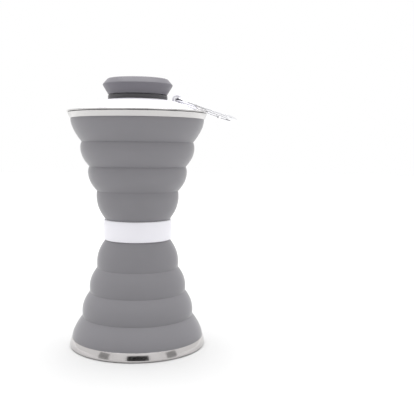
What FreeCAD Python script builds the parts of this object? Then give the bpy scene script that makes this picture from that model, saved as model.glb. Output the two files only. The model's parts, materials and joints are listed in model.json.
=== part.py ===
# Collapsible travel cup, in millimetres. +Z is up and the origin is the middle of the underside.
# Two folding cones of silicone meet at a waist band. A metal ring closes the foot, and a metal band
# the mouth. A white lid screws into the mouth, a grey cap screws onto the lid's spout, and a snap
# hook hangs in an eye on the lid and lies over the rim on the +X side.
#
# The silicone is one moulding on the real cup. It is cut here into the stiff steps that travel
# and the thin webs between them that turn inside out as the cup folds.
import FreeCAD, Part
import math
import os

V = FreeCAD.Vector
UP = V(0, 0, 1)

# Silicone wall: the lower cone. The upper cone is its mirror image.
WALL_R = 45.4  # outer radius where the wall leaves the foot ring
WALL_LEAN = 1.8  # how far the foot wall leans in over its height
FOOT_TOP_Z = 11.8  # top of the foot wall, where the first web starts
FIRST_CREASE_R = 38.15
FIRST_CREASE_Z = 20.6
STEP_IN = 5.1  # radial width of one step
STEP_PITCH = 16.75  # height of one step
STEPS = 3  # steps in each cone
RISER_H = 8.6  # stiff height of a step
RISER_BULGE = 0.9
LAST_RISE = 19.2  # last crease to the waist
WAIST_IN = 5.45  # last crease to the waist, radially
WALL_T = 1.5  # stiff wall
WEB_T = 1.2  # flexing wall, measured level
WEB_BULGE = 0.6
CREASE_GAP = 0.2  # between a web and the step that it turns about
FLOOR_T = 1.4
FOOT_WALL_BULGE = 0.2

# Folding
STEP_REST_Z = 3.0  # height of each crease over the underside when folded
FOLDED_GAP = 0.8  # between the two cones when folded

# Waist band
BAND_H = 14.8
BAND_T = 1.3
BAND_CROWN = 0.5
BAND_ROUND = 0.9
SLEEVE_STEP = 0.4  # depth of the groove that the band sits in
SLEEVE_LIP = 0.5  # height of the groove's edges

# Foot ring and base plate
PLATE_T = 1.0
FOOT_RING_H = 6.0
FOOT_RING_T = 1.6
FOOT_RING_FLANGE = 3.4
FOOT_RING_ROUND = 1.3  # bottom edge
FOOT_RING_TOP_ROUND = 0.5
FOOT_RING_LEAN = 0.5

# Mouth: metal band outside the wall, threaded collar inside it
MOUTH_DROP = 1.0  # mouth's top edge under the lid ring's top
BAND_DEPTH = 3.8  # height of the metal band
BAND_SHEET = 0.7
BAND_FLARE = 1.4
BAND_HOLLOW = 0.05
BAND_EDGE_LOW = 0.2
BAND_EDGE_HIGH = 0.3
HEM_T = 1.3
COLLAR_T = 1.4
COLLAR_H = 6.8

# Lid
LID_RING_OVER = 2.6  # lid ring outside the wall
LID_RING_FACE = 8.0  # width of the ring's visible face
LID_RING_FALL = 0.5
LIP_GAP = 0.25  # under the lid ring's outer part
LIP_ROUND = 0.4
BEAD_CROWN = 0.5  # width of the bead's round outer edge
BEAD_W = 1.2  # raised bead at the lid ring's outer edge
BEAD_FOOT = 1.8
BEAD_UP = 0.2
RING_EDGE_W = 0.6  # chamfer at the lid ring's inner edge
RING_EDGE_H = 0.3
LID_EDGE_UP = 0.9  # the dome's edge over the lid ring's outer edge
LID_T = 1.6
LID_RISE = 7.1
LID_CROWN = 1.1
DECK_OVER = 5.0  # flat deck outside the spout
SKIRT_T = 1.1
SKIRT_H = 3.6
FLANGE_T = 0.8
THREAD_GAP = 0.3
GASKET_T = 0.6
GASKET_W = 1.3
SEAL_GAP = 0.1

# Spout and cap
SPOUT_R = 15.6
SPOUT_T = 2.2
SPOUT_H = 8.6
NECK_RING_OVER = 4.7  # radii of these parts outside the spout
NECK_RING_H = 3.0
NECK_RING_CROWN = 0.2
NECK_GAP = 0.4
CAP_OVER = 8.25
CAP_NECK_OVER = 4.4
CAP_TOP_OVER = 4.9
CAP_CONE_H = 6.7
CAP_CHAMFER_H = 4.0
CAP_CROWN = 0.5
CAP_SOFT = 0.35  # softening of its edges
CAP_TOP_SOFT = 0.1
CAP_FOOT = 0.3  # chamfer round the bottom
LINER_T = 1.6
THREAD_DEPTH = 1.0
SEAL_T = 1.5

# Snap hook and the eye that it hangs in
EYE_OUT = 6.3  # eye's middle outside the deck
EYE_UP = 2.04  # eye's middle over the dome
EYE_R = 2.1
EYE_WALL = 1.2
EYE_W = 3.0
HOOK_BAR_R = 1.6
HOOK_LENGTH = 42.6  # inner bar to outer bar, middle to middle
HOOK_INNER_R = 9.0
HOOK_OUTER_R = 7.6
HOOK_REST_GAP = 0.2  # over the lid ring
GATE_R = 1.45
GATE_START = 15.0  # from the inner bar, along the hook
GATE_PIVOT = 31.5
GATE_GAP = 0.35
TONGUE_T = 1.1
TONGUE_GAP = 0.3
TONGUE_ROOT = 0.5  # how far the tongue runs into the bar
HEEL_GAP = 0.3  # between the gate's round end and the bar
PIN_R = 0.6
PIN_FIT = 0.05
PIN_PROUD = 0.1
SPRING_R = 0.65
SPRING_WALL = 0.3
SPRING_L = 6.0
SPRING_GAP = 0.15
BORE_OVERRUN = 0.4
BORE_START = 0.1

# Heights and radii that follow
FOOT_TOP_R = WALL_R - WALL_LEAN
CREASE_R = [FIRST_CREASE_R - k * STEP_IN for k in range(STEPS)]
CREASE_Z = [FIRST_CREASE_Z + k * STEP_PITCH for k in range(STEPS)]
WAIST_Z = CREASE_Z[-1] + LAST_RISE
WAIST_R = CREASE_R[-1] - WAIST_IN
CUP_H = 2 * WAIST_Z + BAND_H  # lid ring's outer edge over the underside
WAIST_MID = CUP_H / 2
MOUTH_Z = CUP_H - MOUTH_DROP
HEM_R = WALL_R  # the hem stands straight inside the metal band
COLLAR_R = HEM_R - HEM_T
COLLAR_IN = COLLAR_R - COLLAR_T
COLLAR_TOP = MOUTH_Z - GASKET_T - SEAL_GAP
SKIRT_R = COLLAR_IN - THREAD_GAP
LID_RING_R = WALL_R + LID_RING_OVER
DOME_R = LID_RING_R - LID_RING_FACE
DECK_R = SPOUT_R + DECK_OVER
NECK_RING_R = SPOUT_R + NECK_RING_OVER
CAP_R = SPOUT_R + CAP_OVER
CAP_NECK_R = SPOUT_R + CAP_NECK_OVER
CAP_TOP_R = SPOUT_R + CAP_TOP_OVER
EYE_X = DECK_R + EYE_OUT
FLANGE_Z = MOUTH_Z  # underside of the lid's flange
FLANGE_TOP = FLANGE_Z + FLANGE_T
DOME_Z = CUP_H + LID_EDGE_UP
DECK_Z = DOME_Z + LID_RISE
SPOUT_TOP = DECK_Z + SPOUT_H
CAP_Z = DECK_Z + NECK_RING_H + NECK_GAP
CAP_TOP = CAP_Z + CAP_CONE_H + CAP_CHAMFER_H
LINER_IN = SPOUT_R + THREAD_DEPTH
SEAL_Z = SPOUT_TOP + SEAL_GAP
LINER_TOP = SEAL_Z + SEAL_T + SEAL_GAP


def turned(start, *path):
    """Solid turned about Z. Each item of the path is the next (r, z), or (middle, end) for an arc."""
    edges = []
    here = V(start[0], 0, start[1])
    for item in path + (start,):
        if isinstance(item[0], tuple):
            middle, end = (V(p[0], 0, p[1]) for p in item)
            edges.append(Part.Arc(here, middle, end).toShape())
        else:
            end = V(item[0], 0, item[1])
            if end.distanceToPoint(here) > 1e-6:
                edges.append(Part.LineSegment(here, end).toShape())
        here = end
    return Part.Face(Part.Wire(edges)).revolve(V(0, 0, 0), UP, 360)


def middle(a, b, out=0.0):
    """Point halfway from a to b, moved out from the axis."""
    return ((a[0] + b[0]) / 2 + out, (a[1] + b[1]) / 2)


def arc_inset(radius):
    """How far the middle of a quarter-circle edge lies inside both of its faces."""
    return radius * (1 - math.sqrt(0.5))


def to_upper_cone(shape):
    return shape.mirror(V(0, 0, WAIST_MID), UP)


def shifted(point, inwards):
    return (point[0] - inwards, point[1])


def wall(low, high, bulge, thickness):
    """Ring of wall between two outer points (r, z), bulging outwards between them."""
    bow = middle(low, high, bulge)
    return turned(
        low,
        (bow, high),
        shifted(high, thickness),
        (shifted(bow, thickness), shifted(low, thickness)),
    )


def riser(k):
    """Stiff ring of step k of the lower cone."""
    low = (CREASE_R[k], CREASE_Z[k])
    high = (CREASE_R[k], CREASE_Z[k] + RISER_H)
    return wall(low, high, RISER_BULGE, WALL_T)


def web(k):
    """Flexing ring of the lower cone that ends at crease k, or at the waist."""
    if k == 0:
        low = (FOOT_TOP_R, FOOT_TOP_Z)
    else:
        low = (CREASE_R[k - 1], CREASE_Z[k - 1] + RISER_H)
    if k < STEPS:
        high = (CREASE_R[k], CREASE_Z[k] - CREASE_GAP)
    else:
        high = (WAIST_R, WAIST_Z - CREASE_GAP)
    return wall(low, high, WEB_BULGE, WEB_T)


def foot_cup():
    """Floor and foot wall, which are moulded together."""
    inner_foot = (FOOT_TOP_R - WALL_T, FOOT_TOP_Z)
    return turned(
        (0, PLATE_T),
        (WALL_R, PLATE_T),
        (WALL_R, FOOT_RING_H),
        (middle((WALL_R, FOOT_RING_H), (FOOT_TOP_R, FOOT_TOP_Z), FOOT_WALL_BULGE), (FOOT_TOP_R, FOOT_TOP_Z)),
        inner_foot,
        (WALL_R - WALL_T, FOOT_RING_H),
        (WALL_R - WALL_T, PLATE_T + FLOOR_T),
        (0, PLATE_T + FLOOR_T),
    )


def base_plate():
    r = WALL_R - FOOT_RING_FLANGE
    return turned((0, 0), (r, 0), (r, PLATE_T), (0, PLATE_T))


def foot_ring():
    """Rolled metal ring with a flange turned in under the wall."""
    out = WALL_R + FOOT_RING_T
    top_out = out - FOOT_RING_LEAN
    arc = arc_inset(FOOT_RING_ROUND)
    top_arc = arc_inset(FOOT_RING_TOP_ROUND)
    return turned(
        (WALL_R - FOOT_RING_FLANGE, 0),
        (out - FOOT_RING_ROUND, 0),
        ((out - arc, arc), (out, FOOT_RING_ROUND)),
        ((out, FOOT_RING_H / 2), (top_out, FOOT_RING_H - FOOT_RING_TOP_ROUND)),
        (
            (top_out - top_arc, FOOT_RING_H - top_arc),
            (top_out - FOOT_RING_TOP_ROUND, FOOT_RING_H),
        ),
        (WALL_R, FOOT_RING_H),
        (WALL_R, PLATE_T),
        (WALL_R - FOOT_RING_FLANGE, PLATE_T),
    )


def waist_sleeve():
    """Neck of the moulding, grooved for the band."""
    low, high = WAIST_Z, WAIST_Z + BAND_H
    groove = WAIST_R - SLEEVE_STEP
    inner = WAIST_R - WALL_T
    return turned(
        (inner, low),
        (WAIST_R, low),
        (WAIST_R, low + SLEEVE_LIP),
        (groove, low + SLEEVE_LIP),
        (groove, high - SLEEVE_LIP),
        (WAIST_R, high - SLEEVE_LIP),
        (WAIST_R, high),
        (inner, high),
    )


def waist_band():
    low, high = WAIST_Z + SLEEVE_LIP, WAIST_Z + BAND_H - SLEEVE_LIP
    inner = WAIST_R - SLEEVE_STEP
    out = inner + BAND_T
    arc = arc_inset(BAND_ROUND)
    return turned(
        (inner, low),
        (out - BAND_ROUND, low),
        ((out - arc, low + arc), (out, low + BAND_ROUND)),
        ((out + BAND_CROWN, (low + high) / 2), (out, high - BAND_ROUND)),
        ((out - arc, high - arc), (out - BAND_ROUND, high)),
        (inner, high),
    )


def rim_wall():
    """Top wall of the upper cone, with the hem that the metal band grips."""
    low_z = CUP_H - FOOT_TOP_Z
    bend_z = CUP_H - FOOT_RING_H
    return turned(
        (FOOT_TOP_R - WALL_T, low_z),
        (FOOT_TOP_R, low_z),
        (middle((FOOT_TOP_R, low_z), (WALL_R, bend_z), FOOT_WALL_BULGE), (WALL_R, bend_z)),
        (WALL_R, COLLAR_TOP),
        (COLLAR_R, COLLAR_TOP),
        (COLLAR_R, bend_z),
        (COLLAR_R - COLLAR_T / 2, COLLAR_TOP - COLLAR_H),
    )


def mouth_collar():
    """Stiff ring inside the hem that takes the lid's thread."""
    bend_z = CUP_H - FOOT_RING_H
    low_z = COLLAR_TOP - COLLAR_H
    return turned(
        (COLLAR_IN, low_z),
        (COLLAR_R - COLLAR_T / 2, low_z),
        (COLLAR_R, bend_z),
        (COLLAR_R, COLLAR_TOP),
        (COLLAR_IN, COLLAR_TOP),
    )


def rim_band():
    """Flared metal band round the hem."""
    low, high = MOUTH_Z - SEAL_GAP - BAND_DEPTH, MOUTH_Z - SEAL_GAP
    inner, out = WALL_R, WALL_R + BAND_SHEET
    flare = out + BAND_FLARE
    return turned(
        (inner, low),
        (out - BAND_EDGE_LOW, low),
        (out, low + BAND_EDGE_LOW),
        (middle((out, low), (flare, high), -BAND_HOLLOW), (flare, high - BAND_EDGE_HIGH)),
        (flare - BAND_EDGE_HIGH, high),
        (inner, high),
    )


def lid_gasket():
    low = COLLAR_TOP + SEAL_GAP
    return turned(
        (COLLAR_IN, low),
        (COLLAR_IN + GASKET_W, low),
        (COLLAR_IN + GASKET_W, low + GASKET_T - SEAL_GAP),
        (COLLAR_IN, low + GASKET_T - SEAL_GAP),
    )


def dome_point(share, sink=0.0):
    """Point of the dome's outline, from its edge (0) to the deck (1), sunk by the wall."""
    r = DOME_R + (DECK_R - DOME_R) * share
    z = DOME_Z + LID_RISE * share + 4 * LID_CROWN * share * (1 - share)
    return (r, z - sink)


def dome_height(r):
    return dome_point((DOME_R - r) / (DOME_R - DECK_R))[1]


EYE_Z = dome_height(EYE_X) + EYE_UP


def lid_shell():
    """Dome, flange and threaded skirt with the spout, in one moulding."""
    spout_in = SPOUT_R - SPOUT_T
    root = SKIRT_R - SKIRT_T
    body = turned(
        (SKIRT_R, FLANGE_Z - SKIRT_H),
        (SKIRT_R, FLANGE_Z),
        (COLLAR_R, FLANGE_Z),
        (COLLAR_R, FLANGE_TOP),
        (DOME_R, FLANGE_TOP),
        dome_point(0),
        (dome_point(0.5), dome_point(1)),
        (SPOUT_R, DECK_Z),
        (SPOUT_R, SPOUT_TOP),
        (spout_in, SPOUT_TOP),
        (spout_in, DECK_Z - LID_T),
        (DECK_R, DECK_Z - LID_T),
        (dome_point(0.5, LID_T), (DOME_R - LID_T, DOME_Z - LID_T)),
        (DOME_R - LID_T, FLANGE_Z),
        (root, FLANGE_Z),
        (root, FLANGE_Z - SKIRT_H),
    )
    return body.fuse(lug()).removeSplitter()


def lug():
    """Upright ear on the dome with the hook's eye through it."""
    out = EYE_R + EYE_WALL
    foot_z = dome_height(EYE_X + out) - LID_T / 2
    disc = Part.makeCylinder(out, EYE_W, V(EYE_X, -EYE_W / 2, EYE_Z), V(0, 1, 0))
    post = Part.makeBox(2 * out, EYE_W, EYE_Z - foot_z, V(EYE_X - out, -EYE_W / 2, foot_z))
    hole = Part.makeCylinder(EYE_R, 2 * EYE_W, V(EYE_X, -EYE_W, EYE_Z), V(0, 1, 0))
    return disc.fuse(post).removeSplitter().cut(hole)


def lid_ring():
    """Rolled metal trim over the lid's flange, with a lip that stands over the mouth band."""
    top = CUP_H + LID_RING_FALL
    lip_z = MOUTH_Z + LIP_GAP
    out = LID_RING_R
    return turned(
        (DOME_R, FLANGE_TOP),
        (COLLAR_R, FLANGE_TOP),
        (COLLAR_R, lip_z),
        (out - LIP_ROUND, lip_z),
        ((out, (lip_z + CUP_H) / 2), (out - BEAD_CROWN, CUP_H + BEAD_UP / 2)),
        (out - BEAD_W, CUP_H + BEAD_UP),
        (out - BEAD_FOOT, CUP_H),
        (DOME_R + RING_EDGE_W, top),
        (DOME_R, top - RING_EDGE_H),
    )


def neck_ring():
    """Soft ring round the foot of the spout."""
    low, high = DECK_Z, DECK_Z + NECK_RING_H
    out = NECK_RING_R
    return turned(
        (SPOUT_R, low),
        (out - NECK_RING_CROWN, low),
        ((out, (low + high) / 2), (out - NECK_RING_CROWN, high)),
        (SPOUT_R, high),
    )


def crown_point(r, edge_r):
    """Point of the cap's crown, a shallow part of a sphere that starts at edge_r."""
    sphere_r = (edge_r**2 + CAP_CROWN**2) / (2 * CAP_CROWN)
    return (r, CAP_TOP + CAP_CROWN - sphere_r + math.sqrt(sphere_r**2 - r**2))


def cap_shell():
    """Grip of the cap: a cone out to the widest edge, a chamfer back in and a crowned top."""
    edge_z = CAP_Z + CAP_CONE_H
    soft = CAP_SOFT
    top_in = LINER_TOP + LINER_T
    inner = LINER_IN + LINER_T
    return turned(
        (inner, CAP_Z),
        (CAP_NECK_R - CAP_FOOT, CAP_Z),
        (CAP_NECK_R, CAP_Z + CAP_FOOT),
        (CAP_R - soft, edge_z - soft),
        ((CAP_R, edge_z), (CAP_R - soft, edge_z + soft)),
        (CAP_TOP_R + soft, CAP_TOP - soft),
        ((CAP_TOP_R + CAP_TOP_SOFT, CAP_TOP - CAP_TOP_SOFT), (CAP_TOP_R - soft, CAP_TOP)),
        (crown_point((CAP_TOP_R - soft) / 2, CAP_TOP_R - soft), (0, CAP_TOP + CAP_CROWN)),
        (0, top_in),
        (inner, top_in),
    )


def cap_liner():
    """Threaded cup pressed inside the grip."""
    out = LINER_IN + LINER_T
    top = LINER_TOP + LINER_T
    return turned(
        (LINER_IN, CAP_Z + NECK_GAP),
        (out, CAP_Z + NECK_GAP),
        (out, top),
        (0, top),
        (0, LINER_TOP),
        (LINER_IN, LINER_TOP),
    )


def cap_seal():
    r = LINER_IN - THREAD_GAP
    return turned((0, SEAL_Z), (r, SEAL_Z), (r, SEAL_Z + SEAL_T), (0, SEAL_Z + SEAL_T))


def hook_slope():
    """Angle below level at which the hook lies on the lid ring, hanging from its eye."""
    bead_r = LID_RING_R - BEAD_W / 2
    across = math.sqrt(bead_r**2 - HOOK_INNER_R**2) - EYE_X
    down = EYE_Z - (CUP_H + BEAD_UP)
    stand_off = HOOK_BAR_R + HOOK_REST_GAP
    return math.atan2(down, across) - math.asin(stand_off / math.hypot(across, down))


def laid(shape):
    """Moves a shape from the hook's own frame (x along it, z out of its plane) to its place."""
    shape.rotate(V(0, 0, 0), V(0, 1, 0), math.degrees(hook_slope()))
    shape.translate(V(EYE_X, 0, EYE_Z))
    return shape


def hook_frame():
    """Tangent points of the hook's middle line: inner and outer end, on the +Y side."""
    inner = V(HOOK_INNER_R, 0, 0)
    outer = V(HOOK_LENGTH - HOOK_OUTER_R, 0, 0)
    lean = math.asin((HOOK_INNER_R - HOOK_OUTER_R) / (outer.x - inner.x))
    side = V(math.sin(lean), math.cos(lean), 0)
    return inner + side * HOOK_INNER_R, outer + side * HOOK_OUTER_R, side


def gate_line(distance):
    """Point of the gate side's middle line at a distance along the hook."""
    near, far, _ = hook_frame()
    share = (distance - near.x) / (far.x - near.x)
    return near + (far - near) * share


def flipped(point):
    return V(point.x, -point.y, point.z)


def hook_body():
    """Bent bar, open on the gate side, with a flat tongue that holds the gate's pin."""
    near, far, _ = hook_frame()
    along = (far - near).normalize()
    nose = gate_line(GATE_START)
    pivot = gate_line(GATE_PIVOT)
    heel = pivot + along * (GATE_R + TONGUE_GAP + HEEL_GAP)
    path = Part.Wire(
        [
            Part.LineSegment(nose, near).toShape(),
            Part.Arc(near, V(0, 0, 0), flipped(near)).toShape(),
            Part.LineSegment(flipped(near), flipped(far)).toShape(),
            Part.Arc(flipped(far), V(HOOK_LENGTH, 0, 0), far).toShape(),
            Part.LineSegment(far, heel).toShape(),
        ]
    )
    section = Part.Wire(Part.makeCircle(HOOK_BAR_R, nose, along))
    bar = path.makePipeShell([section], True, False)
    root = V(0, 0, TONGUE_T / 2)
    tongue = Part.makeCylinder(GATE_R, TONGUE_T, pivot - root)
    neck = Part.makeBox(heel.distanceToPoint(pivot) + TONGUE_ROOT, 2 * GATE_R, TONGUE_T)
    neck.translate(V(0, -GATE_R, -TONGUE_T / 2))
    neck.rotate(V(0, 0, 0), UP, math.degrees(math.atan2(along.y, along.x)))
    neck.translate(pivot)
    hole = Part.makeCylinder(PIN_R + PIN_FIT, 4 * GATE_R, pivot - V(0, 0, 2 * GATE_R))
    return laid(bar.fuse([tongue, neck]).removeSplitter().cut(hole))


def hook_gate():
    """Straight bar, forked round the tongue, with a blind bore for its spring."""
    near, far, _ = hook_frame()
    along = (far - near).normalize()
    tip = gate_line(GATE_START) + along * GATE_GAP
    pivot = gate_line(GATE_PIVOT)
    length = pivot.distanceToPoint(tip)
    rod = Part.makeCylinder(GATE_R, length, tip, along)
    rod = rod.fuse(Part.makeSphere(GATE_R, pivot)).removeSplitter()
    slot_t = TONGUE_T + 2 * TONGUE_GAP
    slot = Part.makeBox(4 * GATE_R, 4 * GATE_R, slot_t)
    slot.translate(V(-GATE_R - TONGUE_GAP, -2 * GATE_R, -slot_t / 2))
    slot.rotate(V(0, 0, 0), UP, math.degrees(math.atan2(along.y, along.x)))
    slot.translate(pivot)
    bore_top = pivot - along * (GATE_R + TONGUE_GAP - BORE_START)
    bore = Part.makeCylinder(SPRING_R + SPRING_GAP, SPRING_L + BORE_OVERRUN, bore_top, along * -1)
    hole = Part.makeCylinder(PIN_R, 4 * GATE_R, pivot - V(0, 0, 2 * GATE_R))
    return laid(rod.cut(slot).cut(bore).cut(hole))


def gate_pin():
    pivot = gate_line(GATE_PIVOT)
    half = GATE_R + PIN_PROUD
    return laid(Part.makeCylinder(PIN_R, 2 * half, pivot - V(0, 0, half)))


def gate_spring():
    """Close-wound spring in the gate's bore, as the tube that its coils fill."""
    near, far, _ = hook_frame()
    along = (far - near).normalize()
    start = gate_line(GATE_PIVOT) - along * (GATE_R + TONGUE_GAP + BORE_START)
    outer = Part.makeCylinder(SPRING_R, SPRING_L, start, along * -1)
    inner = Part.makeCylinder(SPRING_R - SPRING_WALL, SPRING_L, start, along * -1)
    return laid(outer.cut(inner))


def write(name, shape):
    shape.exportStep(f"parts/{name}.step")
    box = shape.BoundBox
    print(f"{name:14s} solids {len(shape.Solids)} volume {shape.Volume:9.1f} z {box.ZMin:.2f} {box.ZMax:.2f}")


def write_silicone():
    write("foot_cup", foot_cup())
    for k in range(STEPS):
        write(f"lower_step_{k + 1}", riser(k))
        write(f"upper_step_{k + 1}", to_upper_cone(riser(k)))
    for k in range(STEPS + 1):
        write(f"lower_web_{k + 1}", web(k))
        write(f"upper_web_{k + 1}", to_upper_cone(web(k)))
    write("waist_sleeve", waist_sleeve())
    write("rim_wall", rim_wall())


def write_metal_and_plastic():
    write("base_plate", base_plate())
    write("foot_ring", foot_ring())
    write("waist_band", waist_band())
    write("mouth_collar", mouth_collar())
    write("rim_band", rim_band())


def write_lid():
    write("lid_gasket", lid_gasket())
    write("lid_shell", lid_shell())
    write("lid_ring", lid_ring())
    write("neck_ring", neck_ring())
    write("cap_shell", cap_shell())
    write("cap_liner", cap_liner())
    write("cap_seal", cap_seal())


def write_hook():
    write("hook_body", hook_body())
    write("hook_gate", hook_gate())
    write("gate_pin", gate_pin())
    write("gate_spring", gate_spring())


def print_motion():
    """Travel of each fold, for the record."""
    folded_h = 2 * FOOT_TOP_Z + FOLDED_GAP
    waist_drop = (CUP_H - folded_h) / 2
    drops = [z - STEP_REST_Z for z in CREASE_Z] + [waist_drop]
    travel = [drops[0]] + [drops[k + 1] - drops[k] for k in range(STEPS)]
    print("cup height", CUP_H, "folded", folded_h, "fold travel", travel)
    print("hook slope", math.degrees(hook_slope()), "eye", EYE_X, EYE_Z)
    pivot = gate_line(GATE_PIVOT)
    slope = hook_slope()
    x = EYE_X + pivot.x * math.cos(slope)
    z = EYE_Z - pivot.x * math.sin(slope)
    print("gate pivot", x, pivot.y, z, "axis", math.sin(slope), math.cos(slope))


os.makedirs("parts", exist_ok=True)
write_silicone()
write_metal_and_plastic()
write_lid()
write_hook()
print_motion()
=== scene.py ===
# %% [markdown]
# # A collapsible travel cup
# The metal, the lid and every joint come from a finished engineering model, which is loaded as a
# fixed frame. This notebook gives the cup its looks: a silicone wall that folds, polished rims,
# a white lid, a soft grey cap and a bright snap hook. Where a piece sits and how large it is are
# read from the frame. Only small shapes, such as the rounding of an edge, have values of their own.

# %% Load the frame
import json
import math

import bpy
from mathutils import Matrix, Vector


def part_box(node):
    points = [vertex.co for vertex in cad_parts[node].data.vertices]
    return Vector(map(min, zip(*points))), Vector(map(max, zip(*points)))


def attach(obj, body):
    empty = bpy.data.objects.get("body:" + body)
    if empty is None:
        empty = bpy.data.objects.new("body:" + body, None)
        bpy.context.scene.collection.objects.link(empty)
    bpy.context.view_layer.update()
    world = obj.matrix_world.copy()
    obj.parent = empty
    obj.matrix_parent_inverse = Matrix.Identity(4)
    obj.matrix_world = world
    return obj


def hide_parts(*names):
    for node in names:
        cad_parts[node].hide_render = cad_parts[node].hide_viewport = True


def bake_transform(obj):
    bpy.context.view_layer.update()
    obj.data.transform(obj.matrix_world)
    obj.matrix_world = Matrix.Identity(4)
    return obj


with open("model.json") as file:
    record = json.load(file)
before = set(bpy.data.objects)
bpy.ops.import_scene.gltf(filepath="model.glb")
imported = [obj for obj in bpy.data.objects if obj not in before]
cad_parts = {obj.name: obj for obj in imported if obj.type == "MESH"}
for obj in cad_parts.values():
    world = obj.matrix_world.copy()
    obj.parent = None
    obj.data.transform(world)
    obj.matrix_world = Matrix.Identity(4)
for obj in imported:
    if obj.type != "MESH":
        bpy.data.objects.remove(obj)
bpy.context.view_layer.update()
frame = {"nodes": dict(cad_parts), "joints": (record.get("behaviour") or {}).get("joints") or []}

MM = 0.001
CLEAR = 0.02 * MM  # between a new piece and what it touches
SLACK = 0.05 * MM  # the same where it can't be seen
cup_low, cup_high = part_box("foot_ring")[0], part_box("cap_shell")[1]
print("the frame stands", round((cup_high.z - cup_low.z) / MM, 1), "mm tall")

# %% [markdown]
# ## The camera
# The camera stands in front of the cup, a little over the middle of its height, and looks down
# by about five degrees. It is turned to the right, so that the cup stands left of the middle with
# room for the hook. Lens shift would frame the same picture, but it would follow the camera into
# every other view, so the camera is turned instead.

# %% Set up the camera
CAMERA_DISTANCE = 0.452
CAMERA_HEIGHT = 0.1376
CAMERA_PITCH = math.radians(5.25)
CAMERA_TURN = math.radians(6.11)
CAMERA_ROLL = math.radians(0.56)
SENSOR = 36.0
LENS = 56.4
NEAREST = 0.01


def add_camera():
    camera = bpy.data.cameras.new("camera")
    camera.sensor_width = SENSOR
    camera.lens = LENS
    camera.clip_start = NEAREST
    thing = bpy.data.objects.new("camera", camera)
    bpy.context.scene.collection.objects.link(thing)
    thing.location = (0, -CAMERA_DISTANCE, CAMERA_HEIGHT)
    turn_right = Matrix.Rotation(-CAMERA_TURN, 4, "Z")
    look_down = Matrix.Rotation(math.pi / 2 - CAMERA_PITCH, 4, "X")
    roll = Matrix.Rotation(CAMERA_ROLL, 4, "Z")
    thing.rotation_euler = (turn_right @ look_down @ roll).to_euler()
    return thing


bpy.context.scene.camera = add_camera()
print("camera", [round(v, 3) for v in bpy.context.scene.camera.location])

# %% [markdown]
# ## Light
# Products like this are shot in a white tent: light comes from all sides, the floor and the
# background melt into one white, and only polished metal shows what stands around it. So the
# world is white and one large soft lamp hangs over the cup. A wide pale card across the front
# keeps the front of the cup darker than its sides. A black card before it gives the foot ring its
# one black reflection, and a grey card on each side gives the ring two softer ones. The cards
# can't be seen directly.

# %% World and lamp
WORLD_LIGHT = 1.0
LAMP_POWER = 12.0
LAMP_SIZE = 0.95
LAMP_PLACE = (0, 0.15, 1.05)


def white_world():
    world = bpy.data.worlds.new("tent")
    world.use_nodes = True
    background = world.node_tree.nodes["Background"]
    background.inputs["Color"].default_value = (1.0, 1.0, 1.0, 1)
    background.inputs["Strength"].default_value = WORLD_LIGHT
    bpy.context.scene.world = world
    bpy.context.scene.view_settings.view_transform = "Standard"


def overhead_lamp():
    lamp = bpy.data.lights.new("overhead_tent_lamp", "AREA")
    lamp.shape = "SQUARE"
    lamp.size = LAMP_SIZE
    lamp.energy = LAMP_POWER
    thing = bpy.data.objects.new("overhead_tent_lamp", lamp)
    bpy.context.scene.collection.objects.link(thing)
    thing.location = LAMP_PLACE
    cup_middle = Vector((0, 0, cup_high.z / 2))
    direction = cup_middle - Vector(LAMP_PLACE)
    thing.rotation_euler = direction.to_track_quat("-Z", "Y").to_euler()
    thing.visible_camera = False
    return thing


white_world()
print("lit by", overhead_lamp().name, "and a white world")

# %% [markdown]
# ## Shader maths as expressions
# A procedural finish is arithmetic on numbers that change over the surface. Wiring each Math node
# by hand hides the formula, so a small class wraps a socket: `noise * 0.2 + 0.4` then adds the two
# Math nodes by itself. A second class holds one material, and its method `node` makes every other
# kind of node.

# %% A socket that can be calculated with
class Value:
    """A node socket that adds Math nodes when it is used in an expression."""

    def __init__(self, tree, socket):
        self.tree = tree
        self.socket = socket

    def math(self, operation, *others):
        maths = self.tree.nodes.new("ShaderNodeMath")
        maths.operation = operation
        for place, item in zip(maths.inputs, (self,) + others):
            connect(self.tree, item, place)
        return Value(self.tree, maths.outputs[0])

    def __add__(self, other):
        return self.math("ADD", other)

    def __mul__(self, other):
        return self.math("MULTIPLY", other)

    __radd__ = __add__
    __rmul__ = __mul__


def connect(tree, item, place):
    """Links a Value to an input, or sets a plain number or colour on it."""
    if isinstance(item, Value):
        tree.links.new(item.socket, place)
    else:
        place.default_value = item


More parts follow.
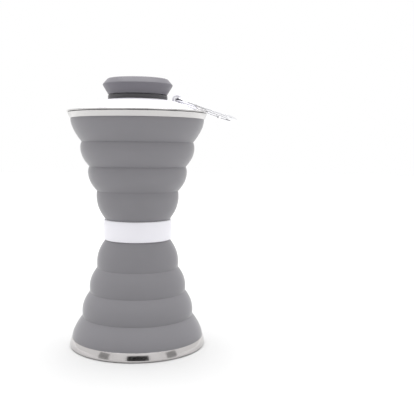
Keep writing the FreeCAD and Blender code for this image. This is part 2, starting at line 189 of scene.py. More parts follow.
class Finish:
    """A material with a Principled shader and a short way to add nodes to it."""

    def __init__(self, name, colour, roughness, **constants):
        self.material = bpy.data.materials.new(name)
        self.material.use_nodes = True
        self.tree = self.material.node_tree
        self.shader = self.tree.nodes["Principled BSDF"]
        self.set("Base Color", (*colour, 1))
        self.set("Roughness", roughness)
        for socket, number in constants.items():
            self.set(socket.replace("_", " "), number)
        self.where = self.node("ShaderNodeTexCoord", out="Object")

    def set(self, socket, item):
        connect(self.tree, item, self.shader.inputs[socket])

    def node(self, kind, settings=None, out=0, numbered=None, **named):
        """Adds a node: its settings first, then its sockets, by number or by name."""
        made = self.tree.nodes.new(kind)
        for setting, choice in (settings or {}).items():
            setattr(made, setting, choice)
        for number, item in (numbered or {}).items():
            connect(self.tree, item, made.inputs[number])
        for socket, item in named.items():
            connect(self.tree, item, made.inputs[socket.replace("_", " ")])
        return Value(self.tree, made.outputs[out])

    def noise(self, scale, detail=3.0, stretch=(1, 1, 1)):
        """Cloudy noise; stretch squeezes or lengthens it along each axis."""
        place = self.node("ShaderNodeMapping", Vector=self.where, Scale=stretch)
        return self.node("ShaderNodeTexNoise", Vector=place, Scale=scale, Detail=detail)

    def mixed(self, mask, first, second):
        """Colour that goes from first to second with the mask."""
        colours = {6: (*first, 1), 7: (*second, 1)}
        return self.node("ShaderNodeMix", {"data_type": "RGBA"}, 2, colours, Factor=mask)

    def round_axis(self):
        """How far a point of the surface is from the axis, and its height."""
        parts = self.node("ShaderNodeSeparateXYZ", Vector=self.where)
        x, y, z = (Value(self.tree, socket) for socket in parts.socket.node.outputs)
        return (x * x + y * y).math("SQRT"), z

    def bump(self, height, depth):
        self.set("Normal", self.node("ShaderNodeBump", Height=height, Distance=depth, Strength=1.0))


print("shader helpers ready")

# %% [markdown]
# ## Finishes
# **Silicone** is matt but not chalky: a soft sheen, a very fine mould grain and a faint bloom of
# dust that makes its grey uneven. **Plastic** has a slight orange-peel and small differences in
# gloss. **Stainless steel** is polished, with fine turned lines round the axis, and the **hook**
# is bright plated metal with tiny handling marks. A painted picture could give the same marks, but
# it needs unwrapping and stretches round the rims, so every finish is noise on the object's own
# coordinates.

# %% Silicone and soft plastic
GREY = (0.194, 0.189, 0.203)
PALE_GREY = (0.220, 0.215, 0.231)
CAP_GREY = (0.156, 0.151, 0.168)
CAP_PALE_GREY = (0.176, 0.170, 0.189)


def soft_finish(name, dark, pale, roughness, grain, sheen=0.5, gloss=0.5):
    """Matt rubbery surface: cloudy colour, uneven gloss and a fine grain."""
    finish = Finish(
        name, dark, roughness, Sheen_Weight=sheen, Sheen_Roughness=0.3, Specular_IOR_Level=gloss
    )
    clouds = finish.noise(28.0)
    finish.set("Base Color", finish.mixed(clouds, dark, pale))
    finish.set("Roughness", clouds * 0.12 + (roughness - 0.06))
    finish.bump(finish.noise(1900.0, 2.0), grain)
    return finish.material


silicone = soft_finish("grey_silicone", GREY, PALE_GREY, 0.5, 0.00002)
soft_cap = soft_finish(
    "soft_grey_plastic", CAP_GREY, CAP_PALE_GREY, 0.42, 0.00001, sheen=0.1, gloss=0.22
)
# The neck ring's rubber is made darker still with painted shade, for the shadow round the spout's
# foot.
neck_rubber_painted_shade = soft_finish(
    "neck_rubber_painted_shade", (0.05, 0.048, 0.054), (0.062, 0.06, 0.066), 0.5, 0.00001
)
seal_rubber = soft_finish(
    "dark_seal_rubber", (0.10, 0.10, 0.115), (0.14, 0.14, 0.155), 0.6, 0.00001
)
print("soft finishes:", silicone.name, soft_cap.name, neck_rubber_painted_shade.name, seal_rubber.name)

# %% Hard plastic
def plastic_finish(name, colour, roughness):
    """Moulded plastic: faint flow clouds in the gloss and a trace of orange peel."""
    finish = Finish(name, colour, roughness, Specular_IOR_Level=0.45)
    flow = finish.noise(40.0)
    shade = tuple(part * 0.97 for part in colour)
    finish.set("Base Color", finish.mixed(flow, shade, colour))
    finish.set("Roughness", flow * 0.1 + (roughness - 0.05))
    finish.bump(finish.noise(520.0, 1.0), 0.000015)
    return finish.material


white_plastic = plastic_finish("white_plastic", (0.85, 0.84, 0.89), 0.3)
liner_plastic = plastic_finish("natural_plastic", (0.62, 0.62, 0.62), 0.4)
print("plastics:", white_plastic.name, liner_plastic.name)

# %% Steel and plated metal
def turned_steel(name, colour, roughness):
    """Polished steel with fine lines that run round the axis, as a lathe or a buff leaves them."""
    finish = Finish(name, colour, roughness, Metallic=1.0)
    radius, height = finish.round_axis()
    across = finish.node("ShaderNodeCombineXYZ", X=radius, Y=height)
    lines = finish.node("ShaderNodeTexNoise", Vector=across, Scale=4200.0, Detail=2.0)
    clouds = finish.noise(35.0)
    finish.set("Roughness", lines * 0.05 + clouds * 0.06 + (roughness - 0.05))
    finish.bump(lines, 0.000004)
    return finish.material


def plated_metal(name, colour, roughness):
    """Bright plating with fine handling marks."""
    finish = Finish(name, colour, roughness, Metallic=1.0)
    marks = finish.noise(700.0, 4.0, stretch=(0.25, 1, 1))
    finish.set("Roughness", marks * 0.14 + (roughness - 0.05))
    finish.bump(marks, 0.000006)
    return finish.material


steel = turned_steel("polished_steel", (0.56, 0.55, 0.545), 0.16)
ring_steel = turned_steel("ring_steel", (0.55, 0.53, 0.525), 0.12)
plate_steel = turned_steel("plate_steel", (0.66, 0.65, 0.64), 0.3)
bright_plate = plated_metal("bright_plating", (0.86, 0.86, 0.88), 0.12)
dark_steel = plated_metal("dark_pin_steel", (0.12, 0.12, 0.125), 0.35)
print("metals:", steel.name, ring_steel.name, plate_steel.name, bright_plate.name, dark_steel.name)

# %% [markdown]
# ## Turned pieces
# Almost the whole cup is round. A round piece could start as a cylinder whose loops are scaled one
# by one, but it is easier to make as on a lathe: draw half of its section, then spin the section
# round the axis. By hand that is one vertex, extruded from point to point along the section and
# spun by a full turn. The helper below does just that. The spin can turn a shape inside out, so
# the normals are made consistent at the end.

# %% The lathe
SPIN_STEPS = 160
SMOOTH_ANGLE = math.radians(32)
SAME_PLACE = 0.001 * MM  # vertices closer than this are made one


def deselect_all():
    bpy.ops.object.select_all(action="DESELECT")


def one_vertex(name, place):
    """A plane shrunk to one vertex, in edit mode and selected."""
    deselect_all()
    bpy.ops.mesh.primitive_plane_add(size=MM, location=(0, 0, 0))
    thing = bpy.context.object
    thing.name = thing.data.name = name
    bpy.ops.object.mode_set(mode="EDIT")
    bpy.ops.mesh.select_mode(type="VERT")
    bpy.ops.mesh.select_all(action="SELECT")
    bpy.ops.mesh.merge(type="CENTER")
    bpy.ops.transform.translate(value=place)
    return thing


def close_up(thing):
    """Merges doubles, turns the faces outwards and leaves edit mode with smooth shading."""
    bpy.ops.mesh.select_all(action="SELECT")
    bpy.ops.mesh.remove_doubles(threshold=SAME_PLACE)
    bpy.ops.mesh.normals_make_consistent(inside=False)
    bpy.ops.object.mode_set(mode="OBJECT")
    bpy.ops.object.shade_smooth_by_angle(angle=SMOOTH_ANGLE)
    return thing


def turn(name, section):
    """Spins a section, a list of (radius, height) that closes on itself, round the cup's axis."""
    start = section[0]
    thing = one_vertex(name, (start[0], 0, start[1]))
    here = start
    for point in section[1:] + section[:1]:
        step = (point[0] - here[0], 0, point[1] - here[1])
        bpy.ops.mesh.extrude_region_move(TRANSFORM_OT_translate={"value": step})
        here = point
    bpy.ops.mesh.select_all(action="SELECT")
    bpy.ops.mesh.spin(steps=SPIN_STEPS, angle=math.tau, center=(0, 0, 0), axis=(0, 0, 1))
    return close_up(thing)


def bow(start, middle, end, count):
    """Points on the curve from start through middle to end, without start."""
    points = []
    for step in range(1, count + 1):
        t = step / count
        a, b, c = (1 - t) * (1 - 2 * t), 4 * t * (1 - t), t * (2 * t - 1)
        points.append(tuple(a * start[i] + b * middle[i] + c * end[i] for i in (0, 1)))
    return points


def fillet(corner, before, after, radius, count=5):
    """Points that round a corner of a section, between the points before and after it."""
    tip = Vector(corner)
    start = tip + (Vector(before) - tip).normalized() * radius
    end = tip + (Vector(after) - tip).normalized() * radius
    points = []
    for step in range(count + 1):
        t = step / count
        point = start * (1 - t) ** 2 + tip * (2 * t * (1 - t)) + end * t**2
        points.append(tuple(point))
    return points


def rounded(section, radii):
    """A section with the corners in radii (index: radius) rounded."""
    points = []
    for i, corner in enumerate(section):
        if i in radii:
            after = section[(i + 1) % len(section)]
            points += fillet(corner, section[i - 1], after, radii[i])
        else:
            points.append(corner)
    return points


def dress(thing, material, body, slot, *nodes):
    """Gives a piece its finish, the body it moves with and the nodes that it stands for."""
    thing.data.materials.clear()
    thing.data.materials.append(material)
    if body:
        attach(thing, body)
    if nodes:
        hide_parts(*nodes)
    print(thing.name, len(thing.data.polygons), "faces")
    return thing


def radii_at(node, height):
    """Radius of every vertex of a node at a height."""
    places = (v.co for v in frame["nodes"][node].data.vertices)
    return [math.hypot(p.x, p.y) for p in places if abs(p.z - height) < CLEAR]


def outer_radius(node, height):
    return max(radii_at(node, height))


def inner_radius(node, height):
    return min(radii_at(node, height))


print("lathe ready,", SPIN_STEPS, "steps a turn")

# %% [markdown]
# ## The folding silicone wall
# Each cone is a row of steps. A step starts upright at one crease, swells a little and then leans
# in more and more until it meets the next crease at about forty degrees. The upright part is
# stiff and travels; the leaning part turns inside out when the cup is pushed together.
# One skin from foot to rim could not follow nine bodies, so the wall is made in stages that meet
# at the creases, where the real wall has a sharp line anyway.

# %% Section of one stage
STAGE_POINTS = 26
STAGE_POWER = 2.6  # how suddenly a stage leans in towards its end
SWELL_LOW = 0.7  # under 1, the swell is fullest in the stage's upright part
LOWER_SWELL = 0.5 * MM
UPPER_SWELL = 1.1 * MM
LAST_SWELL = 0.5 * MM  # of the two stages next to the waist
CONE_POWER = 1.6  # for the stages at the foot and at the rim
CONE_SWELL = 0.05 * MM
WALL = 1.5 * MM
WEB_WALL = 1.2 * MM


def stage_radius(share, start_r, end_r, power, swell):
    """Outer radius at a share of the way from a stage's upright crease to its next one."""
    lean = (start_r - end_r) * share**power
    return start_r - lean + swell * math.sin(math.pi * share**SWELL_LOW)


def stage_outline(start, end, power, swell):
    """Outer and inner points of a stage, from (radius, height) start to end."""
    outer, inner = [], []
    for i in range(STAGE_POINTS + 1):
        share = i / STAGE_POINTS
        r = stage_radius(share, start[0], end[0], power, swell)
        z = start[1] + (end[1] - start[1]) * share
        outer.append((r, z))
        inner.append((r - WALL + (WALL - WEB_WALL) * share, z))
    return outer, inner


def add_stage(name, start, end, nodes, swell, power=STAGE_POWER, tail=()):
    """Turns one stage; tail is more of its section before the start, on the stiff side."""
    outer, inner = stage_outline(start, end, power, swell)
    thing = turn(name, outer + inner[::-1] + list(tail))
    dress(thing, silicone, None, "silicone", *nodes)
    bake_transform(thing)
    return thing


# %% The lower cone
def crease(node, at_top):
    """(radius, height) of a step at the end that meets the stage before it."""
    low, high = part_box(node)
    z = high.z if at_top else low.z
    return (outer_radius(node, z), z)


foot_low, foot_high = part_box("foot_cup")
ring_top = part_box("foot_ring")[1].z
CUP_FLOOR = 1.4 * MM
FLOOR_CORNER = 1.0 * MM
floor_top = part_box("base_plate")[1].z + CUP_FLOOR
wall_r = outer_radius("foot_cup", foot_low.z)
waist_low, waist_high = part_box("waist_sleeve")
waist_r = outer_radius("waist_sleeve", waist_low.z)
foot_tail = [
    (wall_r - WALL, floor_top + FLOOR_CORNER),
    (wall_r - WALL - FLOOR_CORNER, floor_top),
    (0, floor_top),
    (0, foot_low.z),
    (wall_r, foot_low.z),
]
add_stage(
    "silicone_foot",
    (wall_r, ring_top),
    crease("lower_step_1", False),
    ("foot_cup", "lower_web_1"),
    CONE_SWELL,
    power=CONE_POWER,
    tail=foot_tail,
)
STEP_COUNT = 3
for k in range(1, STEP_COUNT + 1):
    last = k == STEP_COUNT
    add_stage(
        f"silicone_lower_stage_{k}",
        crease(f"lower_step_{k}", False),
        (waist_r, waist_low.z) if last else crease(f"lower_step_{k + 1}", False),
        (f"lower_step_{k}", f"lower_web_{k + 1}"),
        LAST_SWELL if last else LOWER_SWELL,
    )
print("lower cone done")

# %% The upper cone
rim_low, rim_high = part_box("rim_wall")
hem_low = cup_low.z + waist_low.z + waist_high.z - ring_top
hem_inner = inner_radius("rim_wall", rim_high.z)
HEM_BEND = 0.4 * MM
rim_tail = [
    (hem_inner - SLACK, hem_low + HEM_BEND),
    (hem_inner, rim_high.z),
    (wall_r, rim_high.z),
]
add_stage(
    "silicone_rim",
    (wall_r, hem_low),
    crease("upper_step_1", True),
    ("rim_wall", "upper_web_1"),
    CONE_SWELL,
    power=CONE_POWER,
    tail=rim_tail,
)
for k in range(1, STEP_COUNT + 1):
    last = k == STEP_COUNT
    add_stage(
        f"silicone_upper_stage_{k}",
        crease(f"upper_step_{k}", True),
        (waist_r, waist_high.z) if last else crease(f"upper_step_{k + 1}", True),
        (f"upper_step_{k}", f"upper_web_{k + 1}"),
        LAST_SWELL if last else UPPER_SWELL,
    )
print("upper cone done")

# %% [markdown]
# ## The waist sleeve
# Between the cones the silicone is a plain tube with a shallow groove that keeps the white band in
# place. It doesn't fold, so it rides on the waist alone and needs no blend.

# %% The sleeve inside the waist
band_low, band_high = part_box("waist_band")
sleeve_in = inner_radius("waist_sleeve", waist_low.z)
groove_r = inner_radius("waist_band", band_low.z)
sleeve = turn(
    "silicone_waist_sleeve",
    [
        (sleeve_in, waist_low.z),
        (waist_r, waist_low.z),
        (waist_r, band_low.z),
        (groove_r, band_low.z),
        (groove_r, band_high.z),
        (waist_r, band_high.z),
        (waist_r, waist_high.z),
        (sleeve_in, waist_high.z),
    ],
)
dress(sleeve, silicone, "waist", "silicone", "waist_sleeve")

# %% [markdown]
# ## The waist band
# A smooth white grip ring, a little barrel-shaped, with generously rounded edges. The edges could
# be bevelled on the finished ring, but a bevel would treat the barrel's bend as an edge too. So the
# two outer corners of its section are rounded before the spin.

# %% Waist band
band_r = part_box("waist_band")[1].x
BAND_EDGE = 0.9 * MM
BAND_CROWN = 0.5 * MM
BAND_POINTS = 10
band_mid = (band_low.z + band_high.z) / 2
band_section = [(groove_r, band_low.z)]
band_section += fillet(
    (band_r - BAND_CROWN, band_low.z),
    band_section[0],
    (band_r - BAND_CROWN, band_mid),
    BAND_EDGE,
)
band_start = band_section[-1]
band_end = (band_start[0], band_high.z - BAND_EDGE)
band_section += bow(band_start, (band_r, band_mid), band_end, BAND_POINTS)
band_section += fillet(
    (band_r - BAND_CROWN, band_high.z), band_end, (groove_r, band_high.z), BAND_EDGE
)[1:]
band_section.append((groove_r, band_high.z))
waist_band = turn("waist_band_ring", band_section)
dress(waist_band, white_plastic, "waist", "white_plastic", "waist_band")

# %% [markdown]
# ## The foot ring
# The foot ring is rolled from sheet. A polished ring shows its shape only by what it mirrors, and
# here that is a bright line, a dark band and a bright band, one over the other. So the section
# rounds in at the bottom, leans back just enough up the side to mirror what stands in front, and
# slopes in more over that, which mirrors the light from above.

# %% Foot ring
ring_low, ring_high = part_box("foot_ring")
flange_r = inner_radius("foot_ring", ring_low.z)
plate_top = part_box("base_plate")[1].z
RING_LEAN = 0.5 * MM  # of the side, from its widest height to the shoulder
RING_WIDEST = 1.25 * MM
RING_SHOULDER = 2.4 * MM  # slope over the side
RING_BOW = 0.47  # share of the lean at half height; a straight side has a half
RING_FOOT = 0.15 * MM
RING_FOOT_ROUND = 0.8 * MM
RING_LIP = 0.15 * MM
RING_LIP_ROUND = 0.12 * MM
RING_POINTS = 10
ring_out = ring_high.x - CLEAR
shoulder = (ring_out - RING_LEAN, ring_high.z - RING_SHOULDER)
ring_section = [(flange_r, ring_low.z)]
widest = (ring_out, RING_WIDEST)
halfway = (ring_out - RING_LEAN * RING_BOW, (RING_WIDEST + shoulder[1]) / 2)
ring_section += fillet(
    (ring_out - RING_FOOT, ring_low.z), ring_section[0], widest, RING_FOOT_ROUND
)
ring_section.append(widest)
ring_section += bow(widest, halfway, shoulder, RING_POINTS)
ring_section += fillet(
    (wall_r + RING_LIP, ring_high.z), shoulder, (wall_r, ring_high.z), RING_LIP_ROUND
)
ring_section += [
    (wall_r + CLEAR, ring_high.z),
    (wall_r + CLEAR, plate_top),
    (flange_r, plate_top),
]
foot_ring = turn("foot_ring_rolled", ring_section)
dress(foot_ring, ring_steel, "foot", "steel", "foot_ring")

# %% [markdown]
# ## The base plate
# The plate inside the foot ring closes the underside. A flat sheet would rock on a table, so such
# plates are pressed up in the middle, and the cup stands on the outer part. The press is two
# rounded corners in the section.

# %% Base plate
DISH_R = 0.72  # share of the plate that is pressed up
DISH_SLOPE = 0.05  # share that the slope takes
DISH_UP = 0.45 * MM
DISH_ROUND = 0.9 * MM
plate_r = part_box("base_plate")[1].x
base_plate = turn(
    "base_plate_dished",
    rounded(
        [
            (0, DISH_UP),
            (plate_r * DISH_R, DISH_UP),
            (plate_r * (DISH_R + DISH_SLOPE), 0),
            (plate_r - SLACK, 0),
            (plate_r - SLACK, plate_top - CLEAR),
            (0, plate_top - CLEAR),
        ],
        {1: DISH_ROUND, 2: DISH_ROUND},
    ),
)
dress(base_plate, plate_steel, "foot", "steel", "base_plate")

# %% [markdown]
# ## The mouth band and the lid ring
# A steel band grips the cup's mouth and flares out to meet the lid ring over it, so that the two
# read as one wedge when the lid is shut. The lid ring has a flat face and a small raised bead at
# its outer edge, which stiffens it and catches the light. Both are turned like the foot ring, and
# stay two pieces because the lid ring leaves with the lid.

# %% Mouth band
MOUTH_LOW_ROUND = 0.3 * MM
MOUTH_HIGH_ROUND = 0.35 * MM
mouth_low, mouth_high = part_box("rim_band")
mouth_band = turn(
    "mouth_band_flared",
    rounded(
        [
            (wall_r + CLEAR, mouth_low.z),
            (outer_radius("rim_band", mouth_low.z), mouth_low.z),
            (mouth_high.x, mouth_high.z),
            (wall_r + CLEAR, mouth_high.z),
        ],
        {1: MOUTH_LOW_ROUND, 2: MOUTH_HIGH_ROUND},
    ),
)
dress(mouth_band, steel, "rim", "steel", "rim_band")

# %% Lid ring
SKIRT_H = 3.6 * MM
FLANGE_T = 0.8 * MM
FLANGE_GAP = 0.1 * MM
FACE_EDGE_W = 0.6 * MM  # chamfer at the inner edge
FACE_EDGE_H = 0.3 * MM
FACE_ROUND = 0.4 * MM
BEAD_W = 1.5 * MM
BEAD_H = 0.95 * MM
BEAD_FOOT_H = 0.72 * MM
BEAD_ROUND = 0.5 * MM
LIP_ROUND = 0.45 * MM
lip_low, ring_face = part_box("lid_ring")
ring_edge = ring_face.x
dome_r = inner_radius("lid_ring", ring_face.z - FACE_EDGE_H)
flange_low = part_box("lid_shell")[0].z + SKIRT_H
flange_top = flange_low + FLANGE_T
flange_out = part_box("mouth_collar")[1].x
lid_ring = turn(
    "lid_ring_rolled",
    rounded(
        [
            (dome_r, flange_top),
            (flange_out + FLANGE_GAP, flange_top),
            (flange_out + FLANGE_GAP, lip_low.z),
            (ring_edge, lip_low.z),
            (ring_edge, lip_low.z + BEAD_H),
            (ring_edge - BEAD_W, lip_low.z + BEAD_FOOT_H),
            (dome_r + FACE_EDGE_W, ring_face.z),
            (dome_r, ring_face.z - FACE_EDGE_H),
        ],
        {3: LIP_ROUND, 4: BEAD_ROUND, 5: BEAD_ROUND, 6: FACE_ROUND},
    ),
)
dress(lid_ring, steel, "lid", "steel", "lid_ring")

# %% [markdown]
# ## The lid
# The lid is one white moulding: a dome that is steep at its edge and flat at the top, a drinking
# spout with a screw thread, a skirt that screws into the mouth, and an upright ear for the snap
# hook. All of it that is round is turned in one section, so that the dome flows into the spout
# with no seam.

# %% Dome, spout and skirt
shell_low, shell_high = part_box("lid_shell")
neck_low, neck_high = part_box("neck_ring")
deck_z = neck_low.z
DECK_R = 20.6 * MM
DECK_CORNER = 0.5 * MM
LID_WALL = 1.6 * MM
DOME_UP = 0.4 * MM  # its edge over the lid ring
DOME_CROWN = 1.1 * MM
DOME_POINTS = 14
SPOUT_EDGE = 0.7 * MM
spout_r = inner_radius("neck_ring", neck_low.z)
spout_in = inner_radius("lid_shell", shell_high.z)
skirt_out = outer_radius("lid_shell", shell_low.z)
skirt_in = inner_radius("lid_shell", shell_low.z)
dome_edge_z = ring_face.z + DOME_UP


def dome_bow(sink=0.0):
    """Points of the dome from its edge to the deck, sunk by the wall for the underside."""
    edge = (dome_r - sink, dome_edge_z - sink)
    top = (DECK_R, deck_z - sink)
    crown = ((dome_r + DECK_R) / 2, (dome_edge_z + deck_z) / 2 + DOME_CROWN - sink)
    return edge, bow(edge, crown, top, DOME_POINTS)


edge, dome_points = dome_bow()
under_edge, under_points = dome_bow(LID_WALL)
lid_section = (
    [(skirt_out, shell_low.z), (skirt_out, flange_low), (flange_out, flange_low)]
    + [(flange_out, flange_top), (dome_r, flange_top), edge]
    + dome_points
    + fillet((spout_r, deck_z), dome_points[-1], (spout_r, shell_high.z), DECK_CORNER)
    + fillet((spout_r, shell_high.z), (spout_r, deck_z), (spout_in, shell_high.z), SPOUT_EDGE)
    + fillet((spout_in, shell_high.z), (spout_r, shell_high.z), (spout_in, deck_z), SPOUT_EDGE)
    + [(spout_in, deck_z - LID_WALL)]
    + under_points[::-1]
    + [under_edge, (dome_r - LID_WALL, flange_low), (skirt_in, flange_low)]
    + [(skirt_in, shell_low.z)]
)
lid = turn("lid_moulding", lid_section)
dress(lid, white_plastic, "lid", "white_plastic", "lid_shell")

# %% [markdown]
# ## The spout's thread
# The cap screws on to one ridge that winds once round the spout. Spinning can't climb, so the
# ridge's section is drawn at the foot of the spout and wound up with the Screw modifier. Its root
# is sunk into the spout, which hides the seam.

# %% Screw thread on the spout
THREAD_PITCH = 3.0 * MM
THREAD_UP = 0.7 * MM  # its start over the neck ring
THREAD_DEPTH = 0.6 * MM
THREAD_SINK = 0.3 * MM
THREAD_ROOT = 1.3 * MM
THREAD_SLOPE = 0.4 * MM
THREAD_FLAT = 0.5 * MM
THREAD_STEPS = 60


def add_thread():
    """One ridge wound once round the spout."""
    thing = one_vertex("spout_thread", (spout_r - THREAD_SINK, 0, neck_high.z + THREAD_UP))
    out = (THREAD_DEPTH + THREAD_SINK, 0, -THREAD_SLOPE)
    for step in ((0, 0, THREAD_ROOT), out, (0, 0, -THREAD_FLAT)):
        bpy.ops.mesh.extrude_region_move(TRANSFORM_OT_translate={"value": step})
    bpy.ops.mesh.select_all(action="SELECT")
    bpy.ops.mesh.edge_face_add()
    bpy.ops.object.mode_set(mode="OBJECT")
    screw = thing.modifiers.new("wind", "SCREW")
    screw.angle = math.tau
    screw.screw_offset = THREAD_PITCH
    screw.steps = screw.render_steps = THREAD_STEPS
    bpy.ops.object.modifier_apply(modifier="wind")
    bpy.ops.object.mode_set(mode="EDIT")
    bpy.ops.mesh.select_all(action="SELECT")
    bpy.ops.mesh.fill_holes(sides=4)
    return close_up(thing)


spout_thread = add_thread()
dress(spout_thread, white_plastic, "lid", "white_plastic")

# %% [markdown]
# ## The ear for the hook
# An upright ear stands on the dome, and the snap hook hangs in its eye. It isn't round about the
# cup's axis, so it can't be turned. It is a block whose two top edges are bevelled so far that they
# meet in a half circle, with a hole drilled through it and its edges softened. Its foot is sunk
# into the dome.

# %% Ear with the eye
EAR_WIDTH = 3.0 * MM
EAR_OUT = 3.3 * MM
EAR_EYE = 2.1 * MM
EAR_DEPTH = 3.9 * MM  # from the eye down into the dome
EAR_SOFT = 0.35 * MM
EAR_STEPS = 16
EYE_SIDES = 40
NEARLY = 0.998  # keeps the two rounded top edges from running into each other
SHARP = math.radians(50)
swing = next(j for j in frame["joints"] if j["name"] == "hook_swing")
eye = Vector(swing["pos_m"])


def make_active(thing):
    deselect_all()
    thing.select_set(True)
    bpy.context.view_layer.objects.active = thing


def ear_block():
    """Block with its two top edges along Y rolled over."""
    deselect_all()
    tall = EAR_OUT + EAR_DEPTH
    bpy.ops.mesh.primitive_cube_add(size=1.0, location=(eye.x, 0, eye.z + EAR_OUT - tall / 2))
    thing = bpy.context.object
    thing.name = thing.data.name = "hook_ear"
    thing.scale = (2 * EAR_OUT, EAR_WIDTH, tall)
    bpy.ops.object.transform_apply(location=True, rotation=True, scale=True)
    bpy.ops.object.mode_set(mode="EDIT")
    bpy.ops.mesh.select_mode(type="EDGE")
    bpy.ops.mesh.select_all(action="DESELECT")
    bpy.ops.object.mode_set(mode="OBJECT")
    for edge in thing.data.edges:
        ends = [thing.data.vertices[v].co for v in edge.vertices]
        edge.select = min(e.z for e in ends) > eye.z and abs(ends[0].x - ends[1].x) < MM
    bpy.ops.object.mode_set(mode="EDIT")
    bpy.ops.mesh.bevel(offset=NEARLY * EAR_OUT, segments=EAR_STEPS, affect="EDGES")
    bpy.ops.object.mode_set(mode="OBJECT")
    return thing


def eye_drill():
    deselect_all()
    bpy.ops.mesh.primitive_cylinder_add(
        vertices=EYE_SIDES,
        radius=EAR_EYE,
        depth=2 * EAR_WIDTH,
        location=eye,
        rotation=(math.pi / 2, 0, 0),
    )
    return bpy.context.object


def add_ear():
    """The block, drilled and then softened along its sharp edges."""
    thing = ear_block()
    drill = eye_drill()
    hole = thing.modifiers.new("eye", "BOOLEAN")
    hole.operation = "DIFFERENCE"
    hole.object = drill
    soft = thing.modifiers.new("soft_edges", "BEVEL")
    soft.width = EAR_SOFT
    soft.segments = 3
    soft.limit_method = "ANGLE"
    soft.angle_limit = SHARP
    make_active(thing)
    bpy.ops.object.modifier_apply(modifier="eye")
    bpy.ops.object.modifier_apply(modifier="soft_edges")
    make_active(drill)
    bpy.ops.object.delete()
    make_active(thing)
    bpy.ops.object.mode_set(mode="EDIT")
    return close_up(thing)


ear = add_ear()
dress(ear, white_plastic, "lid", "white_plastic")

# %% [markdown]
# ## Neck ring and cap
# A soft dark ring sits round the foot of the spout; its colour is partly its own dark rubber and
# partly painted shade. The cap over it widens like a cone, turns a crisp but softened edge and
# chamfers back in to a slightly crowned top. It could be a cylinder with scaled and bevelled loops,
# but a section shows each of its four angles at once.

# %% Neck ring
NECK_ROUND = 0.45 * MM
NECK_CROWN = 0.1 * MM
neck_out = neck_high.x
neck_ring = turn(
    "neck_ring_soft",
    rounded(
        [
            (spout_r + SLACK, neck_low.z + CLEAR),
            (neck_out - NECK_CROWN, neck_low.z + CLEAR),
            (neck_out, (neck_low.z + neck_high.z) / 2),
            (neck_out - NECK_CROWN, neck_high.z),
            (spout_r + SLACK, neck_high.z),
        ],
        {1: NECK_ROUND / 2, 2: NECK_ROUND, 3: NECK_ROUND},
    ),
)
# The neck ring's finish is dark rubber with painted shade on top.
dress(neck_ring, neck_rubber_painted_shade, "lid", "seal_rubber", "neck_ring")

# %% Cap
cap_low, cap_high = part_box("cap_shell")
CAP_CONE = 6.7 * MM
CAP_CHAMFER = 4.0 * MM
CAP_TOP_R = 20.5 * MM
CAP_FOOT = 0.3 * MM
CAP_FOOT_ROUND = 0.35 * MM
CAP_EDGE = 0.7 * MM
CAP_EDGE_OUT = 0.12 * MM  # makes up for what the rounding takes off
CAP_TOP_EDGE = 0.8 * MM
CAP_DROP = 0.12 * MM  # of the crown at half the top's radius
CAP_POINTS = 10
EDGE_POINTS = 7
edge_z = cap_low.z + CAP_CONE
rim_z = edge_z + CAP_CHAMFER
neck = (outer_radius("cap_shell", cap_low.z) + CAP_FOOT, cap_low.z)
widest = (cap_high.x, edge_z)
tip = (cap_high.x + CAP_EDGE_OUT, edge_z)
rim = (CAP_TOP_R, rim_z)
crown = (0, cap_high.z)
liner_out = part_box("cap_liner")[1].x
liner_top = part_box("cap_liner")[1].z
cap_section = [(liner_out, cap_low.z)]
cap_section += fillet(neck, cap_section[0], widest, CAP_FOOT_ROUND)
cap_section += fillet(tip, neck, rim, CAP_EDGE, EDGE_POINTS)
cap_section += fillet(rim, widest, crown, CAP_TOP_EDGE, EDGE_POINTS)
cap_section += bow(
    cap_section[-1], (CAP_TOP_R / 2, cap_high.z - CAP_DROP), crown, CAP_POINTS
)
cap_section += [(0, liner_top), (liner_out, liner_top)]
cap = turn("cap_grip", cap_section)
dress(cap, soft_cap, "cap", "grey_plastic", "cap_shell")

# %% [markdown]
# ## Parts that stay as engineered
# The liner, the seals, the collar in the mouth and the whole snap hook already have the right
# shape. Making them again would only risk a change, so they keep their own meshes and get a finish.

# %% Finishes for the engineered parts
KEPT = {
    "cap_liner": liner_plastic,
    "cap_seal": seal_rubber,
    "lid_gasket": seal_rubber,
    "mouth_collar": white_plastic,
    "hook_body": bright_plate,
    "hook_gate": bright_plate,
    "gate_pin": dark_steel,
    "gate_spring": dark_steel,
}
for node, material in KEPT.items():
    part = frame["nodes"][node]
    part.data.materials.clear()
    part.data.materials.append(material)
print("finished", len(KEPT), "engineered parts")

# %% [markdown]
# ## The floor
# A pale floor, wide enough that its edge is never seen. White paint alone would turn grey away from
# the lamp and show a horizon. So away from the cup the floor glows a little, like a table lit from
# below, and fades into the white world, while round the foot it still takes a faint shadow.

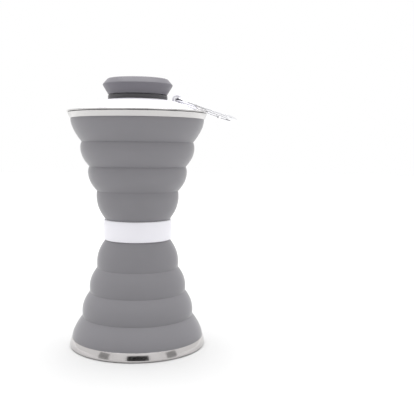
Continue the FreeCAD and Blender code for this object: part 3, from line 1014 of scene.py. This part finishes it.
# %% Floor
FLOOR_R = 3.0
FLOOR_DROP = 0.2 * MM
FLOOR_SIDES = 96
FLOOR_SHADE = 0.66
GLOW_START = 0.2
GLOW_END = 0.7
GLOW = 0.36


def floor_finish():
    shade = (FLOOR_SHADE, FLOOR_SHADE, FLOOR_SHADE)
    finish = Finish("pale_floor", shade, 0.8, Emission_Strength=1.0)
    away, _ = finish.round_axis()
    glow = finish.node(
        "ShaderNodeMapRange", Value=away, From_Min=GLOW_START, From_Max=GLOW_END, To_Max=GLOW
    )
    finish.set("Emission Color", glow)
    return finish.material


def add_floor():
    deselect_all()
    bpy.ops.mesh.primitive_circle_add(
        vertices=FLOOR_SIDES, radius=FLOOR_R, fill_type="NGON", location=(0, 0, -FLOOR_DROP)
    )
    floor = bpy.context.object
    floor.name = "floor"
    floor.data.materials.append(floor_finish())
    return floor


floor = add_floor()
print("floor radius", FLOOR_R, "m")

# %% [markdown]
# ## The cards
# Cards are what a photographer stands round a shiny product. The wide pale one takes some light
# off the front, and the small ones give the steel something dark to mirror. They only need a
# plain matt shade, and the camera doesn't see them.

# %% Cards
def add_card(name, bearing, away, middle_z, width, height, shade):
    """Upright card facing the cup; bearing is in degrees from the front, positive to the right."""
    finish = Finish(name, (shade, shade, shade), 0.9)
    deselect_all()
    angle = math.radians(bearing)
    bpy.ops.mesh.primitive_plane_add(
        size=1.0,
        location=(away * math.sin(angle), -away * math.cos(angle), middle_z),
        rotation=(math.pi / 2, 0, angle),
    )
    card = bpy.context.object
    card.name = name
    card.scale = (width, height, 1)
    card.data.materials.append(finish.material)
    card.visible_camera = False
    return card


CARD_AWAY = 0.75
CARD_MIDDLE = 0.12
CARD_HEIGHT = 0.36
SIDE_BEARING = 56
add_card("front_card", 0, 0.95, 0.5, width=1.7, height=1.0, shade=0.78)
add_card("black_card", 0, CARD_AWAY, CARD_MIDDLE, width=0.47, height=CARD_HEIGHT, shade=0.0)
for name, bearing in (("left_grey_card", -SIDE_BEARING), ("right_grey_card", SIDE_BEARING)):
    add_card(name, bearing, CARD_AWAY, CARD_MIDDLE, width=0.24, height=CARD_HEIGHT, shade=0.25)
print("four cards round the cup")
